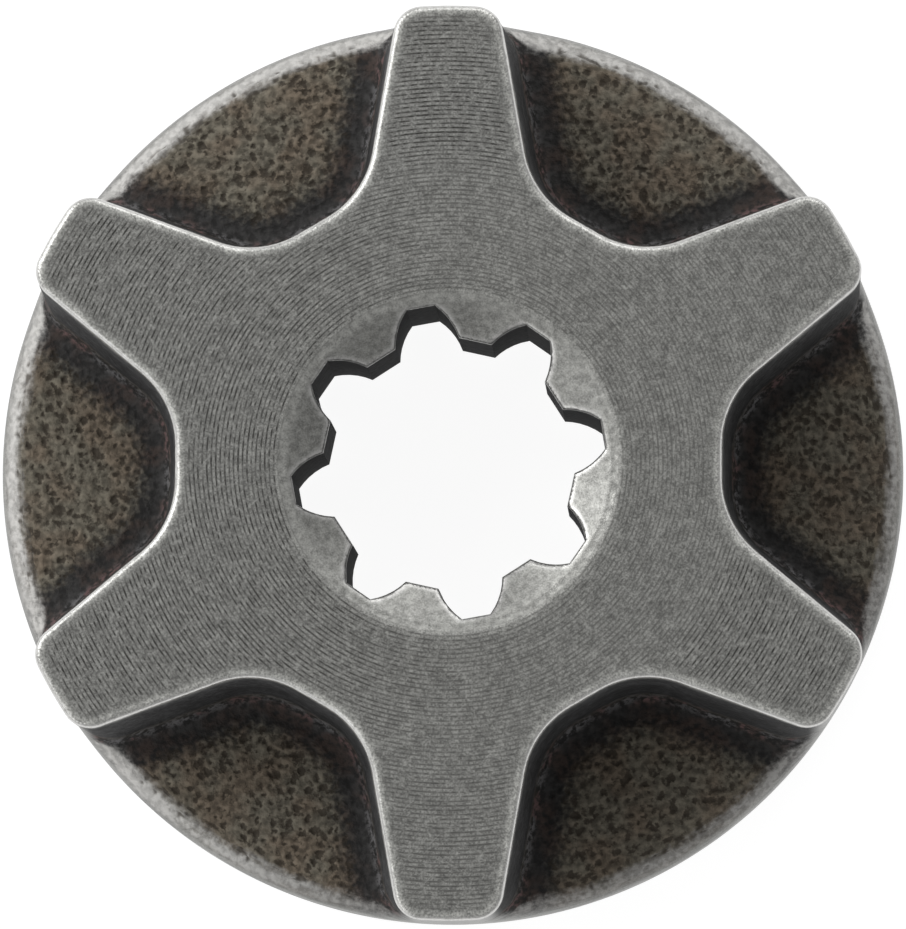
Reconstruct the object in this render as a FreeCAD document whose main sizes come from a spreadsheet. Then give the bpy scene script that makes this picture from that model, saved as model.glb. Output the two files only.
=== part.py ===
import FreeCAD, Part
import Sketcher
import math
import os

# A chainsaw drive sprocket: one forged and turned steel piece, lying on its back face.
# The origin is the centre of the back face, +Z runs up the bore and one tooth points along +Y.

NODE = "sprocket"

# Driving sizes: lengths in millimetres, angles in degrees
SIZES = [
    ("outer_diameter", 29.4),
    ("total_thickness", 7.5),
    ("flange_thickness", 2.0),
    ("tooth_count", 6),
    ("tip_width", 3.22),
    ("flank_angle", 10.0),
    ("valley_distance", 8.77),
    ("valley_fillet", 3.06),
    ("foot_fillet", 0.9),
    ("mouth_round", 0.93),
    ("tooth_edge_break", 0.18),
    ("back_edge_break", 0.35),
    ("spline_count", 8),
    ("spline_root_distance", 5.04),
    ("spline_root_width", 0.91),
    ("spline_tip_distance", 4.01),
    ("spline_tip_width", 1.08),
    ("spline_flank_radius", 2.08),
    ("spline_turn", 10.2),
    ("countersink_diameter", 10.64),
    ("countersink_slope", 30.0),
]

doc = FreeCAD.newDocument("sprocket")
sheet = doc.addObject("Spreadsheet::Sheet", "sizes")
for row, (name, value) in enumerate(SIZES, start=1):
    sheet.set("A%d" % row, name)
    sheet.set("B%d" % row, str(value))
    sheet.setAlias("B%d" % row, name)
doc.recompute()

size = dict(SIZES)
outer_radius = size["outer_diameter"] / 2
thickness = size["total_thickness"]
near = 0.001
START, END, MIDDLE = 1, 2, 3
ORIGIN = (-1, 1)
UPRIGHT_AXIS = -2

body = doc.addObject("PartDesign::Body", NODE)


# Helpers for sketches and features

def origin_part(role):
    return [o for o in body.Origin.OriginFeatures if o.Role == role][0]


def new_sketch(name, role):
    sketch = body.newObject("Sketcher::SketchObject", name)
    sketch.AttachmentSupport = [(origin_part(role), "")]
    sketch.MapMode = "FlatFace"
    return sketch


def at(radius, angle):
    return radius * math.cos(math.radians(angle)), radius * math.sin(math.radians(angle))


def moved(p, way, length):
    return p[0] + way[0] * length, p[1] + way[1] * length


def along(p, way):
    return p[0] * way[0] + p[1] * way[1]


def vector(p):
    return FreeCAD.Vector(p[0], p[1], 0)


def line(sketch, a, b):
    return sketch.addGeometry(Part.LineSegment(vector(a), vector(b)), False)


def arc(sketch, centre, a, b):
    circle = Part.Circle(vector(centre), FreeCAD.Vector(0, 0, 1), math.dist(centre, a))
    first = math.atan2(a[1] - centre[1], a[0] - centre[0])
    last = math.atan2(b[1] - centre[1], b[0] - centre[0])
    return sketch.addGeometry(Part.ArcOfCircle(circle, first, last), False)


def rule(sketch, *what):
    return sketch.addConstraint(Sketcher.Constraint(*what))


def measure(sketch, expression, *what):
    sketch.setExpression("Constraints[%d]" % rule(sketch, *what), expression)


def settle(feature):
    feature.Refine = True
    body.Tip = feature
    doc.recompute()
    if feature.Shape.isNull() or not feature.Shape.isValid():
        raise RuntimeError("%s gave no valid shape" % feature.Name)
    return feature


def settle_cut(feature, before):
    settle(feature)
    if feature.Shape.Volume > before.Shape.Volume - near:
        raise RuntimeError("%s cut nothing" % feature.Name)
    return feature


def around_axis(feature, profile):
    feature.Profile = profile
    feature.ReferenceAxis = (origin_part("Z_Axis"), [""])
    feature.Angle = 360


def pattern(name, original, count):
    feature = body.newObject("PartDesign::PolarPattern", name)
    feature.Originals = [original]
    feature.Axis = (origin_part("Z_Axis"), [""])
    feature.Angle = 360
    feature.setExpression("Occurrences", count)
    return settle(feature)


def names_where(kind, shapes, test):
    return ["%s%d" % (kind, n) for n, s in enumerate(shapes, start=1) if test(s)]


def dressed(kind, measured_by, name, base, amount, test):
    feature = body.newObject(kind, name)
    feature.Base = (base, names_where("Edge", base.Shape.Edges, test))
    feature.setExpression(measured_by, amount)
    return settle(feature)


def rounded(name, base, radius, test):
    return dressed("PartDesign::Fillet", "Radius", name, base, radius, test)


def bevelled(name, base, width, test):
    return dressed("PartDesign::Chamfer", "Size", name, base, width, test)


def radii(shape):
    return [math.hypot(v.X, v.Y) for v in shape.Vertexes]


def heights(shape):
    return [v.Z for v in shape.Vertexes]


def lies_at(edge, height):
    return max(abs(z - height) for z in heights(edge)) < near


# One tooth with half a valley on each side, rooted halfway down the flange
tooth = new_sketch("tooth_outline", "XY_Plane")
tooth.setExpression("AttachmentOffset.Base.z", "sizes.flange_thickness / 2")
half_pitch = 180 / size["tooth_count"]


def tooth_side(side):
    fillet = size["valley_fillet"]
    valley_way = at(1, 90 - side * half_pitch)
    flank_way = at(1, 90 + side * size["flank_angle"])
    out_of_tooth = at(1, side * size["flank_angle"] + (0 if side > 0 else 180))
    gauge = (side * size["tip_width"] / 2, outer_radius)
    offset = moved(gauge, out_of_tooth, fillet)
    slide = size["valley_distance"] + fillet - along(offset, valley_way)
    centre = moved(offset, flank_way, slide / along(flank_way, valley_way))
    on_flank = moved(centre, out_of_tooth, -fillet)
    on_valley = moved(centre, valley_way, -fillet)
    middle = at(size["valley_distance"], 90 - side * half_pitch)
    lead = along(gauge, flank_way)
    past_tip = lead - math.sqrt(lead ** 2 - along(gauge, gauge) + outer_radius ** 2)
    flank_end = moved(gauge, flank_way, -past_tip)

    radial = line(tooth, (0, 0), middle)
    valley = line(tooth, middle, on_valley)
    if side > 0:
        curve = arc(tooth, centre, on_flank, on_valley)
        curve_flank, curve_valley = START, END
    else:
        curve = arc(tooth, centre, on_valley, on_flank)
        curve_flank, curve_valley = END, START
    flank = line(tooth, on_flank, flank_end)
    mark = tooth.addGeometry(Part.Point(vector(gauge)), True)
    rule(tooth, "Coincident", radial, START, *ORIGIN)
    rule(tooth, "Coincident", radial, END, valley, START)
    rule(tooth, "Perpendicular", radial, valley)
    rule(tooth, "Tangent", valley, END, curve, curve_valley)
    rule(tooth, "Tangent", curve, curve_flank, flank, START)
    rule(tooth, "PointOnObject", mark, START, flank)
    measure(tooth, "90 - %d * 180 / sizes.tooth_count" % side,
            "Angle", radial, math.radians(90 - side * half_pitch))
    measure(tooth, "sizes.valley_distance", "Distance", radial, size["valley_distance"])
    measure(tooth, "sizes.valley_fillet", "Radius", curve, fillet)
    measure(tooth, "90 + %d * sizes.flank_angle" % side,
            "Angle", flank, math.radians(90 + side * size["flank_angle"]))
    measure(tooth, "%d * sizes.tip_width / 2" % side, "DistanceX", *ORIGIN, mark, START, gauge[0])
    measure(tooth, "sizes.outer_diameter / 2", "DistanceY", *ORIGIN, mark, START, gauge[1])
    return flank, flank_end


right_flank, right_end = tooth_side(1)
left_flank, left_end = tooth_side(-1)
tip = arc(tooth, (0, 0), right_end, left_end)
rule(tooth, "Coincident", tip, MIDDLE, *ORIGIN)
rule(tooth, "Coincident", right_flank, END, tip, START)
rule(tooth, "Coincident", tip, END, left_flank, END)
measure(tooth, "sizes.outer_diameter / 2", "Radius", tip, outer_radius)

tooth_pad = body.newObject("PartDesign::Pad", "tooth")
tooth_pad.Profile = tooth
tooth_pad.setExpression("Length", "sizes.total_thickness - sizes.flange_thickness / 2")
settle(tooth_pad)
pattern("star", tooth_pad, "sizes.tooth_count")


# The flange under the teeth
disc = new_sketch("flange_outline", "XY_Plane")
ring = disc.addGeometry(Part.Circle(FreeCAD.Vector(0, 0, 0), FreeCAD.Vector(0, 0, 1), outer_radius), False)
rule(disc, "Coincident", ring, MIDDLE, *ORIGIN)
measure(disc, "sizes.outer_diameter / 2", "Radius", ring, outer_radius)
flange = body.newObject("PartDesign::Pad", "flange")
flange.Profile = disc
flange.setExpression("Length", "sizes.flange_thickness")
settle(flange)


# Fillets at the feet of the teeth, and the mouth of each gap rounded down one flank, along the rim and up the next
floor = size["flange_thickness"]


def is_foot(edge):
    middle = edge.valueAt((edge.FirstParameter + edge.LastParameter) / 2)
    return lies_at(edge, floor) and math.hypot(middle.x, middle.y) < outer_radius - near


def is_mouth(edge):
    on_rim = min(radii(edge)) > outer_radius - near
    return on_rim and min(heights(edge)) > floor - near and min(heights(edge)) < thickness - near


def is_tooth_edge(edge):
    return lies_at(edge, thickness)


def is_back_edge(edge):
    return lies_at(edge, 0) and max(radii(edge)) > outer_radius - near


feet = rounded("tooth_feet", flange, "sizes.foot_fillet", is_foot)
mouths = rounded("gap_mouths", feet, "sizes.mouth_round", is_mouth)
edges = bevelled("tooth_edges", mouths, "sizes.tooth_edge_break", is_tooth_edge)
back = bevelled("back_edge", edges, "sizes.back_edge_break", is_back_edge)


# One space of the internal spline, with half a spline tooth on each side
space = new_sketch("spline_outline", "XY_Plane")
half_step = 180 / size["spline_count"]
root_right = (size["spline_root_width"] / 2, size["spline_root_distance"])
root_left = (-root_right[0], root_right[1])
root = line(space, root_right, root_left)
rule(space, "Symmetric", root, START, root, END, UPRIGHT_AXIS)
measure(space, "sizes.spline_root_width", "Distance", root, size["spline_root_width"])
measure(space, "sizes.spline_root_distance", "DistanceY", *ORIGIN, root, START, root_right[1])


def spline_side(side):
    angle = 90 - side * half_step
    middle = at(size["spline_tip_distance"], angle)
    tip_corner = moved(middle, at(1, angle + side * 90), size["spline_tip_width"] / 2)
    root_corner = root_right if side > 0 else root_left
    chord = math.dist(tip_corner, root_corner)
    chord_way = ((root_corner[0] - tip_corner[0]) / chord, (root_corner[1] - tip_corner[1]) / chord)
    inward = (-side * chord_way[1], side * chord_way[0])
    halfway = moved(tip_corner, chord_way, chord / 2)
    centre = moved(halfway, inward, math.sqrt(size["spline_flank_radius"] ** 2 - chord ** 2 / 4))

    radial = line(space, (0, 0), middle)
    tip = line(space, middle, tip_corner)
    if side > 0:
        flank = arc(space, centre, tip_corner, root_corner)
        flank_tip, flank_root, root_end = START, END, START
    else:
        flank = arc(space, centre, root_corner, tip_corner)
        flank_tip, flank_root, root_end = END, START, END
    rule(space, "Coincident", radial, START, *ORIGIN)
    rule(space, "Coincident", radial, END, tip, START)
    rule(space, "Perpendicular", radial, tip)
    rule(space, "Coincident", tip, END, flank, flank_tip)
    rule(space, "Coincident", flank, flank_root, root, root_end)
    measure(space, "90 - %d * 180 / sizes.spline_count" % side, "Angle", radial, math.radians(angle))
    measure(space, "sizes.spline_tip_distance", "Distance", radial, size["spline_tip_distance"])
    measure(space, "sizes.spline_tip_width / 2", "Distance", tip, size["spline_tip_width"] / 2)
    measure(space, "sizes.spline_flank_radius", "Radius", flank, size["spline_flank_radius"])


spline_side(1)
spline_side(-1)
turn = FreeCAD.Rotation(FreeCAD.Vector(0, 0, 1), size["spline_turn"])
space.AttachmentOffset = FreeCAD.Placement(FreeCAD.Vector(0, 0, 0), turn)
space.setExpression("AttachmentOffset.Rotation.Angle", "sizes.spline_turn")
broach = body.newObject("PartDesign::Pocket", "spline_space")
broach.Profile = space
broach.Type = "ThroughAll"
broach.Reversed = True
settle_cut(broach, back)
spline = pattern("spline", broach, "sizes.spline_count")


# The same plain countersink at both ends of the spline

def countersink(name, face_height, expression, inside, before):
    radius = size["countersink_diameter"] / 2
    slope = size["countersink_slope"]
    tip = (0, face_height + inside * radius * math.tan(math.radians(slope)))
    sketch = new_sketch(name + "_section", "XZ_Plane")
    level = line(sketch, (0, face_height), (radius, face_height))
    cone = line(sketch, tip, (radius, face_height))
    axis = line(sketch, (0, face_height), tip)
    rule(sketch, "Coincident", level, END, cone, END)
    rule(sketch, "Coincident", level, START, axis, START)
    rule(sketch, "Coincident", axis, END, cone, START)
    rule(sketch, "Horizontal", level)
    rule(sketch, "PointOnObject", axis, START, UPRIGHT_AXIS)
    rule(sketch, "PointOnObject", axis, END, UPRIGHT_AXIS)
    measure(sketch, expression, "DistanceY", *ORIGIN, level, START, face_height)
    measure(sketch, "sizes.countersink_diameter / 2", "Distance", level, radius)
    measure(sketch, "%d * sizes.countersink_slope" % -inside, "Angle", cone, math.radians(-inside * slope))
    groove = body.newObject("PartDesign::Groove", name)
    around_axis(groove, sketch)
    return settle_cut(groove, before)


front_sink = countersink("front_countersink", thickness, "sizes.total_thickness", -1, spline)
countersink("back_countersink", 0, "0", 1, front_sink)


# Checks before the file is written
doc.recompute()
for item in doc.Objects:
    if "Invalid" in item.State or "Error" in item.State:
        raise RuntimeError("%s is in error" % item.Name)
if body.Shape.isNull() or not body.Shape.isValid() or len(body.Shape.Solids) != 1:
    raise RuntimeError("the sprocket is not one valid solid")
os.makedirs("parts", exist_ok=True)
body.Shape.exportStep("parts/%s.step" % NODE)
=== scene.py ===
import math

import bpy
import numpy as np
from mathutils import Matrix, Vector, bvhtree, geometry, kdtree, noise


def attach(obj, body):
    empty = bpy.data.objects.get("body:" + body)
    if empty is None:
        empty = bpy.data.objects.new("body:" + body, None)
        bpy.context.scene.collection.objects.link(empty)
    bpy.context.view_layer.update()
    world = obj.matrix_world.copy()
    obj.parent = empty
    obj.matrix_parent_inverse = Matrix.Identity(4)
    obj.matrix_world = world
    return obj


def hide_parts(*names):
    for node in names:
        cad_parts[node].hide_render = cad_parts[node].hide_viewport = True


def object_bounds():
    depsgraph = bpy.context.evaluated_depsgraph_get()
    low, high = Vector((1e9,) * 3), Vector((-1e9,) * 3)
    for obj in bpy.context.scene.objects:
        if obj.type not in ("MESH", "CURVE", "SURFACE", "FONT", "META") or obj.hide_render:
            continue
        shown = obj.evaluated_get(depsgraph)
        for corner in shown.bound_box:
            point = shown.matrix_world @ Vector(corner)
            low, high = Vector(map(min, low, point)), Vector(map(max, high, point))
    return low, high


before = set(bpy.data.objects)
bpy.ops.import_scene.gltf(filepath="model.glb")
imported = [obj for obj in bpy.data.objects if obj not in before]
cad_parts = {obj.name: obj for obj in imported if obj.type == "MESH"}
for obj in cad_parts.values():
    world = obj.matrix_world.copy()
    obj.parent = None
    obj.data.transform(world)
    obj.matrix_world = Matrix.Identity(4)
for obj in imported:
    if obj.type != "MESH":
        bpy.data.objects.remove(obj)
cad_low, cad_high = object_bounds()

# Sizes of the part in millimetres, in the frame of the CAD model
MM = 0.001
NODE = "sprocket"
TOP = cad_high.z / MM
RIM_RADIUS = cad_high.x / MM
FLOOR = 2.0
FOOT = 0.9
RIM_ROUND = 0.93
EDGE_BREAK = 0.18
BACK_BREAK = 0.35
SINK_RADIUS = 5.32
SINK_DEPTH = 1.1
WALL_LEAN = math.tan(math.radians(4.5))

# How near counts as touching, and the least lengths to divide by
WELD = 0.0002
ON_LEVEL = 0.002
ON_FACE = 0.0001
TIE_BREAK = 1e-9
NET_TOLERANCE = 1e-7
LEAST_NORMAL = 1e-12
LEAST_SLOPE = 1e-9

# Spacing of the mesh points
EDGE_STEP = 0.13
FORGED_STEP = 0.28
WALL_STEP = 1.2
WALL_GROWTH = 0.8
BORE_STEP = 0.8
SINK_STEP = 0.14
PLAIN_STEP = 1.0
FLOOR_STEP = 0.085
BORDER_SAMPLES = 6
BORDER_CLEARANCE = 0.6
SEED = 11

# Nets of the flat faces: step inside, width of the border, step in the border
FACE_NET = (0.4, 0.5, 0.12)
FLOOR_NET = (FLOOR_STEP, FLOOR_STEP / 2, FLOOR_STEP)
BACK_NET = (1.0, 0.5, 0.25)

# Forged skin and worn edges
CREASE_ANGLE = math.radians(24)
HARD_ANGLE = math.radians(35)
SINK_ANGLE = 30
SINK_ROUND = 0.45
CREASE_WEAR = 0.02
CREASE_BRIGHT = (0.24, 0.02)
MOUTH_REACH = 0.5
SKIN_TOP = 0.6
SKIN_RIM = 0.4
WAVE_HEIGHT, WAVE_SIZE, WAVE_SHIFT = 0.03, 1.9, 1.3
GRAIN_HEIGHT, GRAIN_SIZE, GRAIN_SHIFT = 0.02, 0.33, 7.9
PIT_DEPTH = 0.07
PIT_SHALLOWEST = 0.3
PIT_SPACING = 0.29
PIT_SIZES = (0.05, 0.16)
PIT_FLANK = (1.2, 0.45)
PIT_WARP, WARP_SIZE, WARP_SHIFTS = 0.12, 0.22, (3.7, 9.1)
PITS_FROM_WALL = (0.6, 1.8)
PITS_FROM_RIM = (0.15, 0.5)
RIM_OUTSIDE, RIM_INSIDE, RIM_HEIGHT = (-0.12, 0.32), (0.98, 0.32), (0.3, 0.0)
BORE_FADE = (0.03, 0.16)

# Colours of the steel and the spacing of its turning marks
FACE_COLOUR = (0.295, 0.295, 0.28)
MARK_COLOUR = (0.045, 0.043, 0.04)
FLECK_COLOUR = (0.5, 0.5, 0.48)
WALL_COLOUR = (0.042, 0.042, 0.043)
STREAK_COLOUR = (0.2, 0.195, 0.2)
# Colour of the dirt and of the painted shade beside the walls
DIRT_AND_SHADE_COLOUR = (0.036, 0.035, 0.0345)
SIDE_COLOUR = (0.31, 0.31, 0.3)
SCALE_COLOUR = (0.164, 0.148, 0.116)
BROWN_COLOUR = (0.162, 0.131, 0.098)
# Painted shade: colour of the spline bore
BORE_SHADE_COLOUR = (0.015, 0.015, 0.016)
RIM_COLOUR = (0.56, 0.55, 0.53)
PIT_COLOUR = (0.034, 0.027, 0.02)
RUST_COLOUR = (0.075, 0.042, 0.03)
SPECK_COLOUR = (0.17, 0.1, 0.1)
WORN_COLOUR = (0.64, 0.635, 0.62)
TURN_PITCH = 0.143
DASHES = 4.5
MARKS_FAINT = math.radians(30)

# Fineness of the noises, per millimetre
FINE_NOISE = 17.0
MID_NOISE = 4.6
PATCH_NOISE = 2.0
BROAD_NOISE = 0.8

# Shine of the bare steel and its fine bumps
METAL = 0.9
ROUGHNESS = 0.46
SPECULAR = 0.5
BUMP_STRENGTH = 0.6
BUMP_HEIGHT = 0.03

# Studio: brightness of the world and of the ground, and how far the ground lies under the back face
LIGHT_DISTANCE = 0.4
WORLD_LIGHT = 0.395
GROUND_SIZE = 4
GROUND_GAP = 0.02
GROUND_LIT = 0.7
GROUND_SEEN = 0.2
GROUND_GLOW = 0.92

# Camera, fitted to the photograph
IMAGE_WIDTH, IMAGE_HEIGHT = 906, 929
SENSOR = 36.0
DISTANCE = 352.0
PIXELS_PER_MM = 31.2
TILT = math.radians(3.7)
TILT_SIDE, TILT_DOWN = 0.34, -0.94
HUB_PIXEL = (448.24, 461.65)


# Reading the CAD mesh

def cad_triangles(mesh):
    points = np.empty(len(mesh.vertices) * 3)
    mesh.vertices.foreach_get("co", points)
    points = points.reshape(-1, 3) / MM
    mesh.calc_loop_triangles()
    count = len(mesh.loop_triangles)
    corners = np.empty(count * 3, np.int32)
    mesh.loop_triangles.foreach_get("vertices", corners)
    loops = np.empty(count * 3, np.int32)
    mesh.loop_triangles.foreach_get("loops", loops)
    loop_normals = np.empty(len(mesh.loops) * 3)
    mesh.corner_normals.foreach_get("vector", loop_normals)
    normals = loop_normals.reshape(-1, 3)[loops].reshape(-1, 3, 3)
    _, first, same = np.unique(np.round(points / WELD), axis=0, return_index=True, return_inverse=True)
    triangles = same.reshape(-1)[corners].reshape(-1, 3)
    a, b, c = triangles.T
    whole = (a != b) & (b != c) & (c != a)
    return points[first], triangles[whole], normals[whole]


def lies_flat(points, triangles, level):
    return np.all(np.abs(points[triangles][:, :, 2] - level) < ON_LEVEL, axis=1)


# Making the curved faces finer, with new points on the curve and not on its chord

def edge_table(triangles):
    pairs = np.sort(triangles[:, [[0, 1], [1, 2], [2, 0]]].reshape(-1, 2), axis=1).astype(np.int64)
    span = pairs.max() + 1
    keys, index = np.unique(pairs[:, 0] * span + pairs[:, 1], return_inverse=True)
    return np.column_stack([keys // span, keys % span]), index.reshape(-1, 3)


# One pass: a too long edge is cut where it is the longest edge of every triangle beside it
def halved(points, triangles, normals, step_at):
    edges, index = edge_table(triangles)
    middle = points[edges].mean(axis=1)
    length = np.linalg.norm(points[edges[:, 1]] - points[edges[:, 0]], axis=1)
    length += TIE_BREAK * np.arange(len(edges))
    too_long = length > step_at(middle)
    if not too_long.any():
        return points, triangles, normals, False
    row = np.arange(len(triangles))
    first = np.argmax(length[index], axis=1)
    longest = index[row, first]
    sides = np.bincount(index.reshape(-1))
    coarse, growing = too_long[index].any(axis=1), True
    while growing:
        passed_on = np.zeros(len(edges), bool)
        passed_on[longest[coarse]] = True
        reached = coarse | passed_on[index].any(axis=1)
        growing = reached.sum() > coarse.sum()
        coarse = reached
    split = passed_on & (np.bincount(longest, minlength=len(edges)) == sides)

    turn = (first[:, None] + np.arange(3)) % 3
    corners, corner_normals = triangles[row[:, None], turn], normals[row[:, None], turn]
    cut = split[longest]
    a, b, c = corners[cut].T
    normal_a, normal_b, normal_c = corner_normals[cut].transpose(1, 0, 2)
    half = (points[b] - points[a]) / 2
    lift = np.sum(half * normal_b, axis=1, keepdims=True) * normal_b
    lift -= np.sum(half * normal_a, axis=1, keepdims=True) * normal_a
    bulge = np.zeros_like(middle)
    np.add.at(bulge, longest[cut], lift / 4)
    middle += np.where(sides > 1, 1 / sides, 0)[:, None] * bulge
    new = np.full(len(edges), -1)
    new[split] = len(points) + np.arange(split.sum())
    m = new[longest[cut]]
    normal_m = normal_a + normal_b
    normal_m /= np.linalg.norm(normal_m, axis=1, keepdims=True)
    points = np.vstack([points, middle[split]])
    triangles = np.vstack([triangles[~cut], np.column_stack([a, m, c]), np.column_stack([m, b, c])])
    normals = np.concatenate([normals[~cut], np.stack([normal_a, normal_m, normal_c], axis=1),
                              np.stack([normal_m, normal_b, normal_c], axis=1)])
    return points, triangles, normals, True


def radius_of(points):
    return np.hypot(points[:, 0], points[:, 1])


def step_at(middle):
    radius, height = radius_of(middle), middle[:, 2]
    step = np.full(len(middle), PLAIN_STEP)
    step[(height > FLOOR - RIM_ROUND) & (radius > SINK_RADIUS)] = FORGED_STEP
    on_wall = (height > FLOOR + FOOT + ON_LEVEL) & (radius > SINK_RADIUS)
    step[on_wall] = np.minimum(EDGE_STEP + WALL_GROWTH * (TOP - EDGE_BREAK - height[on_wall]), WALL_STEP)
    step[(height > TOP - EDGE_BREAK - ON_LEVEL) & (radius > SINK_RADIUS + EDGE_BREAK)] = EDGE_STEP
    step[(height < BACK_BREAK + ON_LEVEL) & (radius > SINK_RADIUS)] = BACK_BREAK
    step[radius < SINK_RADIUS + ON_LEVEL] = BORE_STEP
    step[(radius < SINK_RADIUS + ON_LEVEL) & (height > TOP - SINK_DEPTH)] = SINK_STEP
    return step


# Filling the flat faces again with a fine and uneven net

def open_edges(triangles):
    edges, index = edge_table(triangles)
    return edges[np.bincount(index.reshape(-1)) == 1]


def is_on(flat_face, places, level):
    hits = [flat_face.find_nearest((x, y, level))[3] for x, y in places]
    return np.array(hits) < ON_FACE


def tree_of(places):
    tree = kdtree.KDTree(len(places))
    for n, place in enumerate(places):
        tree.insert(place, n)
    tree.balance()
    return tree


def distance_to(tree, places):
    return np.array([tree.find(place)[2] for place in places])


def scattered(step, random):
    rows = np.arange(-RIM_RADIUS, RIM_RADIUS, step * math.sqrt(0.75))
    columns = np.arange(-RIM_RADIUS, RIM_RADIUS, step)
    x, y = np.meshgrid(columns, rows)
    x = x + step / 2 * (np.arange(len(rows)) % 2)[:, None]
    places = np.stack([x, y], axis=-1).reshape(-1, 2)
    return places + random.uniform(-step / 4, step / 4, places.shape)


def along(points, edges, count):
    share = (np.arange(count) / count)[:, None, None]
    start, end = points[edges[:, 0]], points[edges[:, 1]]
    return (start + (end - start) * share).reshape(-1, 3)


def flat_net(points, triangles, flat_face, level, step, border, border_step, random):
    rim = open_edges(triangles)
    rim = rim[np.all(np.abs(points[rim][:, :, 2] - level) < ON_LEVEL, axis=1)]
    flat = np.unique(rim)
    near = tree_of(along(points, rim, BORDER_SAMPLES))
    inner = []
    clear = BORDER_CLEARANCE * border_step
    for spacing, low, high in ((step, border, np.inf), (border_step, clear, border)):
        places = scattered(spacing, random)
        places = places[is_on(flat_face, places, level)]
        reach = distance_to(near, np.pad(places, ((0, 0), (0, 1)), constant_values=level))
        inner.append(places[(reach > low) & (reach <= high)])
    inner = np.vstack(inner)
    where = np.vstack([points[flat, :2], inner])
    order = {vertex: n for n, vertex in enumerate(flat)}
    kept = [(order[a], order[b]) for a, b in rim]
    out = geometry.delaunay_2d_cdt([Vector(p) for p in where], kept, [], 0, NET_TOLERANCE)
    source = np.array([ids[0] for ids in out[3]])
    faces = source[np.array(out[2])]
    a, b, c = where[faces].transpose(1, 0, 2)
    area = (b - a)[:, 0] * (c - a)[:, 1] - (b - a)[:, 1] * (c - a)[:, 0]
    faces = faces[(area > ON_FACE ** 2) & is_on(flat_face, (a + b + c) / 3, level)]
    ids = np.concatenate([flat, len(points) + np.arange(len(inner))])
    points = np.vstack([points, np.pad(inner, ((0, 0), (0, 1)), constant_values=level)])
    return points, ids[faces]


def face_normals(points, triangles):
    a, b, c = points[triangles].transpose(1, 0, 2)
    return np.cross(b - a, c - a)


def point_normals(points, triangles):
    normals = np.zeros_like(points)
    np.add.at(normals, triangles.reshape(-1), np.repeat(face_normals(points, triangles), 3, axis=0))
    return normals / np.maximum(np.linalg.norm(normals, axis=1, keepdims=True), LEAST_NORMAL)


# Rounding a bevel between a flat face and an upright wall

def rounded_bevel(points, triangles, face, width, up, chosen):
    depth = up * (face - points[:, 2]) / width
    on_bevel = chosen & (depth > ON_LEVEL) & (depth < 1 - ON_LEVEL)
    across = point_normals(points, triangles)[:, :2]
    across /= np.maximum(np.linalg.norm(across, axis=1, keepdims=True), LEAST_SLOPE)
    turn = np.arctan2(depth, 1 - depth)
    out = width * (np.sin(turn) - depth)
    raised = up * width * (np.cos(turn) - 1 + depth)
    shift = np.column_stack([across * out[:, None], raised])
    points[on_bevel] += shift[on_bevel]


# Smooth step from 0 to 1 while the value goes from low to high
def smooth(low, high, value):
    t = np.clip((value - low) / (high - low), 0, 1)
    return t * t * (3 - 2 * t)


def noise_at(points, size, shift):
    moved = points / size + shift
    return np.array([noise.noise(p) for p in moved])


def sprocket_mesh():
    random = np.random.default_rng(SEED)
    points, triangles, normals = cad_triangles(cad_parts[NODE].data)
    levels = {TOP: FACE_NET, FLOOR: FLOOR_NET, 0.0: BACK_NET}
    flat_faces = {}
    for level in levels:
        flat = lies_flat(points, triangles, level)
        flat_faces[level] = bvhtree.BVHTree.FromPolygons(points.tolist(), triangles[flat].tolist())
        triangles, normals = triangles[~flat], normals[~flat]
    going = True
    while going:
        points, triangles, normals, going = halved(points, triangles, normals, step_at)
    outer = radius_of(points) > SINK_RADIUS + EDGE_BREAK
    rounded_bevel(points, triangles, TOP, EDGE_BREAK, 1, outer)
    rounded_bevel(points, triangles, 0.0, BACK_BREAK, -1, outer)
    nets = []
    for level, spacing in levels.items():
        points, net = flat_net(points, triangles, flat_faces[level], level, *spacing, random)
        nets.append(net if level > 0 else net[:, ::-1])
    triangles = np.vstack([triangles, *nets])
    used, triangles = np.unique(triangles, return_inverse=True)
    return points[used], triangles.reshape(-1, 3)


points, triangles = sprocket_mesh()

# Where each point lies on the part
radius, height = radius_of(points), points[:, 2].copy()
depth = TOP - height
from_rim = RIM_RADIUS - radius
outer = radius > SINK_RADIUS + EDGE_BREAK
edges, edge_index = edge_table(triangles)
wall_top = outer & (np.abs(depth - EDGE_BREAK) < ON_LEVEL)
wall_top_edges = edges[wall_top[edges].all(axis=1)]
outline = tree_of(along(points * [1, 1, 0], wall_top_edges, BORDER_SAMPLES))
wall_distance = distance_to(outline, points * [1, 1, 0])

# Edges of the countersink and of the spline at the front, worn round
normal = face_normals(points, triangles)
normal /= np.maximum(np.linalg.norm(normal, axis=1, keepdims=True), LEAST_NORMAL)
beside = (np.argsort(edge_index.reshape(-1), kind="stable") // 3).reshape(-1, 2)
bend = np.sum(normal[beside[:, 0]] * normal[beside[:, 1]], axis=1)
at_mouth = (radius < SINK_RADIUS + ON_LEVEL) & (depth < SINK_DEPTH)
crease = edges[(bend < math.cos(CREASE_ANGLE)) & at_mouth[edges].all(axis=1)]
on_crease = np.zeros(len(points), bool)
on_crease[crease] = True
near_mouth = (radius < SINK_RADIUS + MOUTH_REACH) & (depth < SINK_DEPTH + MOUTH_REACH)
crease_distance = np.full(len(points), np.inf)
crease_tree = tree_of(along(points, crease, BORDER_SAMPLES))
crease_distance[near_mouth] = distance_to(crease_tree, points[near_mouth])

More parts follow.
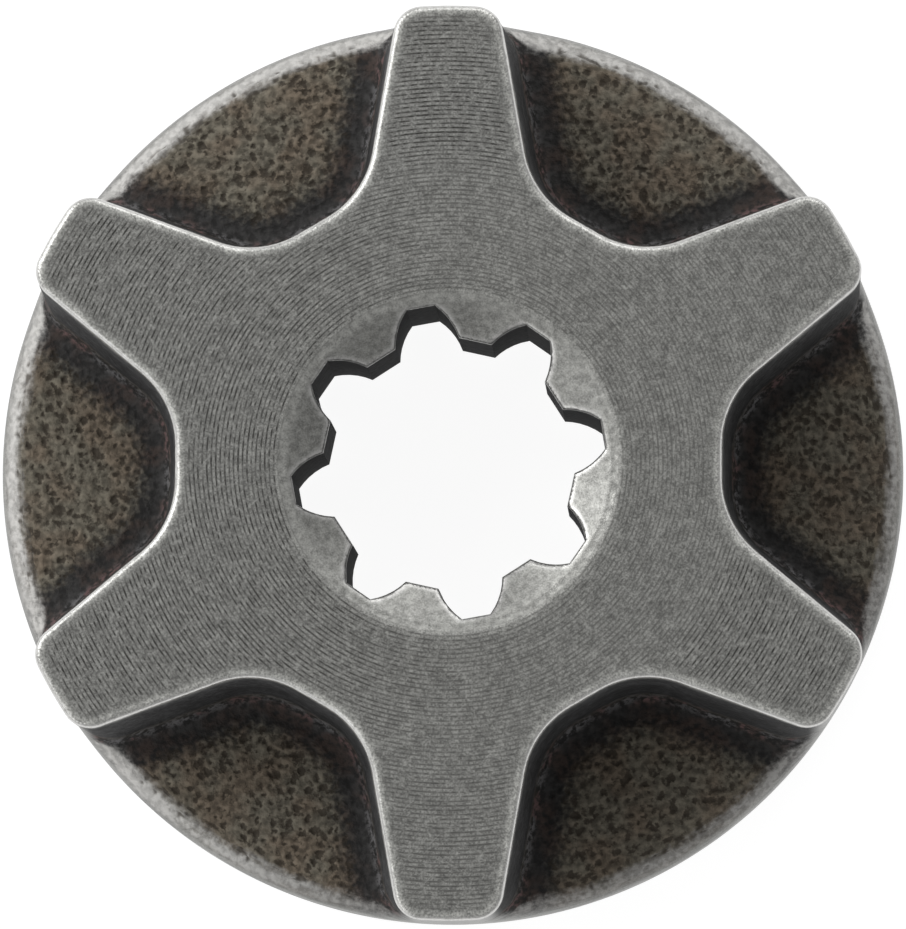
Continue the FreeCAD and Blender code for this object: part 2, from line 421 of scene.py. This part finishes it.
# The mesh with its hard edges, before the surface is moved
mesh = bpy.data.meshes.new("sprocket_steel")
mesh.from_pydata((points * MM).tolist(), [], triangles.tolist())
mesh.update()
mesh.shade_smooth()
mesh.set_sharp_from_angle(angle=HARD_ANGLE)
ends = np.empty(len(mesh.edges) * 2, np.int32)
mesh.edges.foreach_get("vertices", ends)
hard = np.empty(len(mesh.edges), bool)
hard_edges = mesh.attributes["sharp_edge"].data
hard_edges.foreach_get("value", hard)
on_bevel = outer & ((depth < EDGE_BREAK + ON_LEVEL) | (height < BACK_BREAK + ON_LEVEL))
hard_edges.foreach_set("value", hard & ~(on_crease | on_bevel)[ends.reshape(-1, 2)].all(axis=1))

# Walls that lean out towards their feet
normal = point_normals(points, triangles)
across = normal[:, :2]
across = across / np.maximum(np.linalg.norm(across, axis=1, keepdims=True), LEAST_SLOPE)
in_gap = outer & (height > FLOOR - RIM_ROUND) & (depth > EDGE_BREAK)
drop = depth - EDGE_BREAK - np.maximum(FLOOR + FOOT - height, 0)
on_foot = np.where(height > FLOOR + FOOT, 0, wall_distance) / FOOT
lean = WALL_LEAN * drop * np.clip(1 - on_foot, 0, 1) * smooth(0, 1.2 * RIM_ROUND, from_rim)
points[:, :2] += np.where(in_gap, lean, 0)[:, None] * across

# Forged skin: waves, a rough grain and pits
forged = np.where(in_gap, smooth(EDGE_BREAK, SKIN_TOP, depth) * smooth(0, SKIN_RIM, from_rim), 0)
skin = np.flatnonzero(forged > 0)
place = points[skin]
random = np.random.default_rng(SEED)
centres = scattered(PIT_SPACING, random)
centres = centres + random.uniform(-PIT_SPACING / 4, PIT_SPACING / 4, centres.shape)
sizes = random.uniform(*PIT_SIZES, len(centres))
depths = PIT_SHALLOWEST + (1 - PIT_SHALLOWEST) * random.uniform(0, 1, len(centres))
pit_tree = tree_of(np.pad(centres, ((0, 0), (0, 1))))
warp = [noise_at(place, WARP_SIZE, shift) for shift in WARP_SHIFTS]
warp = np.column_stack([*warp, np.zeros(len(place))])
found = [pit_tree.find(at) for at in place * [1, 1, 0] + PIT_WARP * warp]
pits = np.array([distance / sizes[n] for _, n, distance in found])
pits = smooth(*PIT_FLANK, pits) * depths[[n for _, n, _ in found]]
pits = pits * smooth(*PITS_FROM_WALL, wall_distance[skin]) * smooth(*PITS_FROM_RIM, from_rim[skin])
waves = WAVE_HEIGHT * noise_at(place, WAVE_SIZE, WAVE_SHIFT)
waves = waves + GRAIN_HEIGHT * noise_at(place, GRAIN_SIZE, GRAIN_SHIFT)
points[skin] += normal[skin] * (forged[skin] * (waves - PIT_DEPTH * pits))[:, None]

# Worn edges of the spline, and a soft round between the face and the countersink
sink_slope = math.tan(math.radians(SINK_ANGLE))
below_sink = depth - sink_slope * np.maximum(SINK_RADIUS - radius, 0)
points[on_crease] -= normal[on_crease] * CREASE_WEAR
round_part = np.maximum(SINK_ROUND - np.abs(radius - SINK_RADIUS), 0)
points[:, 2] -= sink_slope / (4 * SINK_ROUND) * round_part ** 2 * smooth(0.3, 0.0, below_sink)
mesh.vertices.foreach_set("co", (points * MM).reshape(-1))
mesh.update()

# Values for the material
edge_wear = smooth(0, 0.04, depth) * smooth(1.5 * EDGE_BREAK, 0.8 * EDGE_BREAK, depth)
rim_wear = smooth(*RIM_OUTSIDE, from_rim) * smooth(*RIM_INSIDE, from_rim)
rim_wear = rim_wear * smooth(*RIM_HEIGHT, height - FLOOR)
in_bore = np.where(radius < SINK_RADIUS, smooth(*BORE_FADE, below_sink), 0)
on_border = smooth(0.3, 0.1, SINK_RADIUS - radius)
mouth_wear = smooth(*CREASE_BRIGHT, crease_distance) * (1 - on_border) * (1 - in_bore)
pit = np.zeros(len(points))
pit[skin] = pits
values = {
    "forged": forged,
    "pit": pit,
    "wear": np.maximum(np.where(outer, edge_wear, 0), mouth_wear),
    "rim_wear": np.where(in_gap, rim_wear, 0),
    "wall_distance": wall_distance,
}
for name, numbers in values.items():
    mesh.attributes.new(name, "FLOAT", "POINT").data.foreach_set("value", numbers.astype(np.float32))

piece = bpy.data.objects.new("sprocket_steel", mesh)
bpy.context.scene.collection.objects.link(piece)
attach(piece, "root")
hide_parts(NODE)

# Steel: turned face and countersink, forged pockets, worn edges
steel = bpy.data.materials.new("forged_steel")
steel.use_nodes = True
nodes, links = steel.node_tree.nodes, steel.node_tree.links
shader = nodes["Principled BSDF"]


# Helpers that add nodes to the material in hand

def feed(socket, value):
    if isinstance(value, bpy.types.NodeSocket):
        links.new(value, socket)
    elif socket.type == "RGBA":
        socket.default_value = (*value, 1)
    else:
        socket.default_value = value


def calc(operation, *numbers):
    node = nodes.new("ShaderNodeMath")
    node.operation = operation
    for socket, number in zip(node.inputs, numbers):
        feed(socket, number)
    return node.outputs[0]


def product(*numbers):
    total = numbers[0]
    for number in numbers[1:]:
        total = calc("MULTIPLY", total, number)
    return total


# Smooth step from start to end while the value goes from low to high
def ramp(value, low, high, start=0.0, end=1.0):
    node = nodes.new("ShaderNodeMapRange")
    node.interpolation_type = "SMOOTHSTEP"
    names = ("Value", "From Min", "From Max", "To Min", "To Max")
    for name, number in zip(names, (value, low, high, start, end)):
        feed(node.inputs[name], number)
    return node.outputs[0]


# The mix node keeps its colour sockets at places 6, 7 and, for the result, 2
def blend(factor, first, second):
    node = nodes.new("ShaderNodeMix")
    node.data_type = "RGBA"
    feed(node.inputs[0], factor)
    feed(node.inputs[6], first)
    feed(node.inputs[7], second)
    return node.outputs[2]


def tinted(colour, strength):
    node = nodes.new("ShaderNodeVectorMath")
    node.operation = "SCALE"
    feed(node.inputs[0], colour)
    feed(node.inputs["Scale"], strength)
    return node.outputs[0]


def vector(x, y, z):
    node = nodes.new("ShaderNodeCombineXYZ")
    for socket, number in zip(node.inputs, (x, y, z)):
        feed(socket, number)
    return node.outputs[0]


def grain(where, scale, detail=2.0):
    node = nodes.new("ShaderNodeTexNoise")
    feed(node.inputs["Vector"], where)
    feed(node.inputs["Scale"], scale)
    feed(node.inputs["Detail"], detail)
    return node.outputs["Fac"]


def stored(name):
    node = nodes.new("ShaderNodeAttribute")
    node.attribute_name = name
    return node.outputs["Fac"]


# Place on the part in millimetres, and the values stored with the mesh
spot = tinted(nodes.new("ShaderNodeTexCoord").outputs["Object"], 1 / MM)
split = nodes.new("ShaderNodeSeparateXYZ")
links.new(spot, split.inputs[0])
x, y, z = split.outputs
r = calc("SQRT", calc("ADD", product(x, x), product(y, y)))
turn_x = calc("DIVIDE", x, r)
turn_y = calc("DIVIDE", y, r)
wall = stored("wall_distance")
wear = stored("wear")
skin_part = stored("forged")
pit_depth = stored("pit")
rim_part = stored("rim_wear")

# Three noises that most of the marks share
fine = grain(spot, FINE_NOISE, 2.0)
mid = grain(spot, MID_NOISE, 3.0)
broad = grain(spot, BROAD_NOISE, 2.0)
fine_part = calc("SUBTRACT", fine, 0.5)
mid_part = calc("SUBTRACT", mid, 0.5)

# Turning marks: broken rings on the tooth face, strongest at the left, and faint ones on the back
on_face = product(ramp(z, TOP - 0.09, TOP - 0.01), ramp(r, SINK_RADIUS, SINK_RADIUS + 0.3))
phase = calc("ADD", product(r, 2 * math.pi / TURN_PITCH), product(broad, 1.0))
ring = ramp(calc("ADD", calc("SINE", phase), product(fine_part, 3.2)), 0.0, 0.9)
broken = vector(product(x, DASHES), product(y, DASHES), calc("DIVIDE", r, TURN_PITCH))
dash = ramp(calc("ADD", grain(broken, 1.0, 1.0), product(broad, 0.35)), 0.45, 0.82, 0.1, 1.0)
toward = calc("ADD", product(x, math.cos(MARKS_FAINT)), product(y, math.sin(MARKS_FAINT)))
strong = product(ramp(r, 7.5, 10.5), ramp(toward, 11.0, 6.0, 0.45, 1.0))
strong = calc("MAXIMUM", strong, ramp(x, 3.0, -6.0, 0.5, 0.95))
strong = product(strong, ramp(y, -11.0, -6.5, 0.65, 1.0))
on_back = product(ramp(z, 0.06, 0.02), 0.5)
marks = product(strong, on_face, ramp(wall, 0.15, 0.6))
marks = product(ring, dash, calc("MAXIMUM", marks, on_back))

# Machined steel: face, countersinks, the sides at the rim, and the bore painted dark as shade
speckle = ramp(fine, 0.22, 0.78, 0.55, 1.45)
fleck = ramp(fine, 0.68, 0.8)
# Painted highlight: a lighter ring at the countersink's rounded border and a lighter band along the
# tooth edges
border = product(ramp(r, SINK_RADIUS - 0.3, SINK_RADIUS), ramp(r, SINK_RADIUS + 0.5, SINK_RADIUS + 0.1))
shoulder = product(ramp(wall, 0.38, 0.14), ramp(z, TOP - 0.3, TOP - 0.1))
light = product(ramp(border, 0.0, 1.0, 1.0, 1.25), calc("ADD", 1.0, product(shoulder, 0.7)))
tarnish = ramp(mid, 0.3, 0.7, 0.6, 1.4)
mottle = product(ramp(mid, 0.3, 0.7, 0.86, 1.14), ramp(broad, 0.35, 0.65, 0.96, 1.04))
mottle = product(mottle, ramp(grain(spot, PATCH_NOISE, 2.0), 0.3, 0.7, 0.93, 1.07))
tarnished = product(calc("ADD", speckle, tarnish), 0.5)
speckle = ramp(on_face, 0.0, 1.0, tarnished, product(speckle, mottle))
turned = tinted(FACE_COLOUR, product(speckle, light))
turned = blend(product(marks, 0.95), turned, MARK_COLOUR)
slant = vector(product(calc("ADD", x, y), 0.5), product(calc("SUBTRACT", x, y), 9.0), z)
scratch = product(ramp(grain(slant, 1.0, 1.0), 0.7, 0.78), on_face)
turned = blend(calc("MAXIMUM", product(fleck, 0.5), product(scratch, 0.35)), turned, FLECK_COLOUR)
sink_drop = product(calc("MAXIMUM", calc("SUBTRACT", SINK_RADIUS, r), 0.0), sink_slope)
from_sink = calc("SUBTRACT", calc("MINIMUM", calc("SUBTRACT", TOP, z), z), sink_drop)
bore_part = product(ramp(from_sink, *BORE_FADE), ramp(r, SINK_RADIUS, SINK_RADIUS - 0.2))
side_part = product(ramp(r, RIM_RADIUS - 0.35, RIM_RADIUS - 0.1), ramp(z, TOP - 0.05, TOP - 0.3))
side_rings = grain(vector(product(turn_x, 5.0), product(turn_y, 5.0), product(z, 7.0)), 1.0, 3.0)
side_tone = product(ramp(side_rings, 0.3, 0.7, 0.72, 1.22), ramp(fine, 0.25, 0.75, 0.8, 1.2))
turned = blend(side_part, turned, tinted(SIDE_COLOUR, side_tone))
# Painted shade: the spline bore near black, as it lies in shade
turned = blend(bore_part, turned, tinted(BORE_SHADE_COLOUR, ramp(mid, 0.3, 0.7, 0.3, 1.9)))

# Forged skin: scale, dirt with painted shade beside the walls, rust, pits, and specks along the feet of
# the walls
lump = ramp(mid, 0.28, 0.72, 0.6, 1.4)
lower_right = calc("SUBTRACT", x, product(y, 0.5))
low_part = ramp(z, FLOOR + 1.3, FLOOR + 0.3)
scale = blend(ramp(broad, 0.4, 0.65), SCALE_COLOUR, BROWN_COLOUR)
# Painted light: the walls lighter towards their tops, over a random tone
wall_tone_and_light = product(ramp(broad, 0.35, 0.65, 0.75, 1.25), ramp(z, TOP - 2.5, TOP - 0.3, 0.85, 1.4))
scale = blend(low_part, tinted(WALL_COLOUR, wall_tone_and_light), scale)
# Painted shade: darker near the feet of the walls, partly real dirt and partly the shade in the pockets'
# corners
dirt_and_shade = product(ramp(calc("ADD", wall, product(mid_part, 0.9)), 1.95, 1.05), low_part)
scale = blend(dirt_and_shade, scale, DIRT_AND_SHADE_COLOUR)
# Painted shade: the scale darker towards the lower right, away from the key light
scale = tinted(scale, product(lump, ramp(lower_right, 11.0, 1.0, 0.8, 1.0)))
rust = product(ramp(broad, 0.44, 0.62), ramp(mid, 0.3, 0.6), ramp(wall, 2.0, 0.9), low_part, 0.4)
scale = blend(rust, scale, RUST_COLOUR)
pit_part = ramp(calc("ADD", pit_depth, product(fine_part, 0.9)), 0.1, 0.6)
scale = blend(product(pit_part, 0.8), scale, PIT_COLOUR)
foot_part = product(ramp(wall, 0.55, 0.1), low_part)
streaks = product(foot_part, ramp(calc("ADD", mid, product(fine_part, 0.5)), 0.42, 0.62))
scale = blend(product(streaks, ramp(broad, 0.35, 0.6, 0.8, 0.15)), scale, STREAK_COLOUR)
speck = product(ramp(mid, 0.48, 0.62), ramp(broad, 0.48, 0.58), foot_part, 0.8)
scale = blend(speck, scale, SPECK_COLOUR)

# Worn places: the tooth edges, the spline's mouth and the rounded rim, with painted shade on the rim
# towards the lower right
streak = grain(vector(product(turn_x, 8.0), product(turn_y, 8.0), product(r, 4.0)), 1.0, 3.0)
# Painted shade: less bright wear on the rim towards the lower right, away from the key light
rim_below = calc("SUBTRACT", x, product(y, 1.2))
rim_painted_shade = ramp(rim_below, 2.0, 16.0, 0.0, 0.25)
rubbed = calc("ADD", product(mid_part, 0.8), product(calc("SUBTRACT", streak, 0.5), 1.1))
rubbed = calc("ADD", calc("ADD", rim_part, rubbed), product(fine_part, 0.4))
rubbed = calc("SUBTRACT", rubbed, rim_painted_shade)
rim = product(ramp(rubbed, 0.15, 1.0), ramp(rim_part, 0.0, 0.25))
rim = product(rim, ramp(pit_depth, 0.2, 0.8, 1.0, 0.2))
rim_tone = product(ramp(rim_part, 0.3, 1.0, 0.6, 1.0), ramp(lump, 0.7, 1.3, 0.85, 1.08))
# Painted shade: the rim colour darker towards the lower right
rim_tone = product(rim_tone, ramp(rim_below, 2.0, 16.0, 1.0, 0.65))
colour = blend(skin_part, turned, scale)
colour = blend(rim, colour, tinted(RIM_COLOUR, rim_tone))
chipped = ramp(calc("ADD", mid, product(fine_part, 0.6)), 0.25, 0.6, 0.5, 1.0)
colour = blend(product(wear, chipped), colour, WORN_COLOUR)

# Bare steel shines, while scale and the bore are dull
dull = calc("MAXIMUM", skin_part, bore_part)
bare = calc("MAXIMUM", wear, product(rim, 0.4))
metal = calc("MAXIMUM", calc("SUBTRACT", METAL, product(dull, METAL)), bare)
rough = calc("ADD", ROUGHNESS, product(dull, 0.3))
rough = calc("SUBTRACT", rough, calc("ADD", product(rim, 0.12), product(wear, 0.14)))

# Fine bumps on the bare steel and the lumps of the scale
relief = calc("ADD", product(fine, ramp(dull, 0.0, 1.0, 0.3, 0.0)), product(lump, skin_part, 2.0))
bump = nodes.new("ShaderNodeBump")
bump.inputs["Strength"].default_value = BUMP_STRENGTH
bump.inputs["Distance"].default_value = BUMP_HEIGHT * MM
links.new(relief, bump.inputs["Height"])

matt = calc("MAXIMUM", product(skin_part, 0.3), product(bore_part, 0.45))
gloss = calc("SUBTRACT", SPECULAR, matt)
feed(shader.inputs["Specular IOR Level"], gloss)
feed(shader.inputs["Base Color"], colour)
feed(shader.inputs["Metallic"], metal)
feed(shader.inputs["Roughness"], rough)
feed(shader.inputs["Normal"], bump.outputs[0])
mesh.materials.append(steel)


# Camera at the angle of the photograph
def add_camera():
    back = Vector((math.sin(TILT) * TILT_SIDE, math.sin(TILT) * TILT_DOWN, math.cos(TILT)))
    up = Vector((0, 1, 0))
    up = (up - up.dot(back) * back).normalized()
    side = up.cross(back)
    aim = Vector((0, 0, TOP))
    aim += side * (IMAGE_WIDTH / 2 - HUB_PIXEL[0]) / PIXELS_PER_MM
    aim -= up * (IMAGE_HEIGHT / 2 - HUB_PIXEL[1]) / PIXELS_PER_MM
    data = bpy.data.cameras.new("camera")
    data.sensor_width = SENSOR
    data.lens = SENSOR * DISTANCE * PIXELS_PER_MM / IMAGE_HEIGHT
    camera = bpy.data.objects.new("camera", data)
    turn = Matrix((side, up, back)).transposed().to_4x4()
    camera.matrix_world = Matrix.Translation((aim + back * DISTANCE) * MM) @ turn
    data.clip_start, data.clip_end = 0.01, 10
    bpy.context.scene.collection.objects.link(camera)
    bpy.context.scene.camera = camera


add_camera()


# Soft studio light: azimuth and elevation in degrees, size in metres, and radiance
def add_light(name, azimuth, elevation, width, radiance):
    data = bpy.data.lights.new(name, "AREA")
    data.size = width
    data.energy = radiance * math.pi * width * width
    light = bpy.data.objects.new(name, data)
    level, turn = math.radians(elevation), math.radians(azimuth)
    way = Vector((math.cos(level) * math.cos(turn), math.cos(level) * math.sin(turn), math.sin(level)))
    light.location = way * LIGHT_DISTANCE
    light.rotation_mode = "QUATERNION"
    light.rotation_quaternion = way.to_track_quat("Z", "Y")
    bpy.context.scene.collection.objects.link(light)


add_light("key", 152, 34, 0.28, 3.7)
add_light("side", 75, 34, 0.26, 2.2)
add_light("low", 220, 32, 0.22, 1.5)

world = bpy.data.worlds.new("studio")
world.use_nodes = True
feed(world.node_tree.nodes["Background"].inputs["Color"], [WORLD_LIGHT] * 3)
bpy.context.scene.world = world

# White floor, seen and mirrored as white but lit as a plain pale surface; the helpers now add to it
bpy.ops.mesh.primitive_plane_add(size=GROUND_SIZE)
floor = bpy.context.object
floor.name = "floor"
floor.location.z = -GROUND_GAP * MM
white = bpy.data.materials.new("floor_white")
white.use_nodes = True
nodes, links = white.node_tree.nodes, white.node_tree.links
nodes.remove(nodes["Principled BSDF"])
path = nodes.new("ShaderNodeLightPath")
seen = calc("MAXIMUM", path.outputs["Is Camera Ray"], path.outputs["Is Glossy Ray"])
seen = calc("MAXIMUM", seen, path.outputs["Is Transmission Ray"])
plain = nodes.new("ShaderNodeBsdfDiffuse")
feed(plain.inputs["Color"], [GROUND_LIT] * 3)
dim = nodes.new("ShaderNodeBsdfDiffuse")
feed(dim.inputs["Color"], [GROUND_SEEN] * 3)
glow = nodes.new("ShaderNodeEmission")
feed(glow.inputs["Color"], [GROUND_GLOW] * 3)
both = nodes.new("ShaderNodeAddShader")
links.new(dim.outputs[0], both.inputs[0])
links.new(glow.outputs[0], both.inputs[1])
choice = nodes.new("ShaderNodeMixShader")
links.new(seen, choice.inputs[0])
links.new(plain.outputs[0], choice.inputs[1])
links.new(both.outputs[0], choice.inputs[2])
links.new(choice.outputs[0], nodes["Material Output"].inputs["Surface"])
floor.data.materials.append(white)

bpy.context.scene.view_settings.view_transform = "Standard"
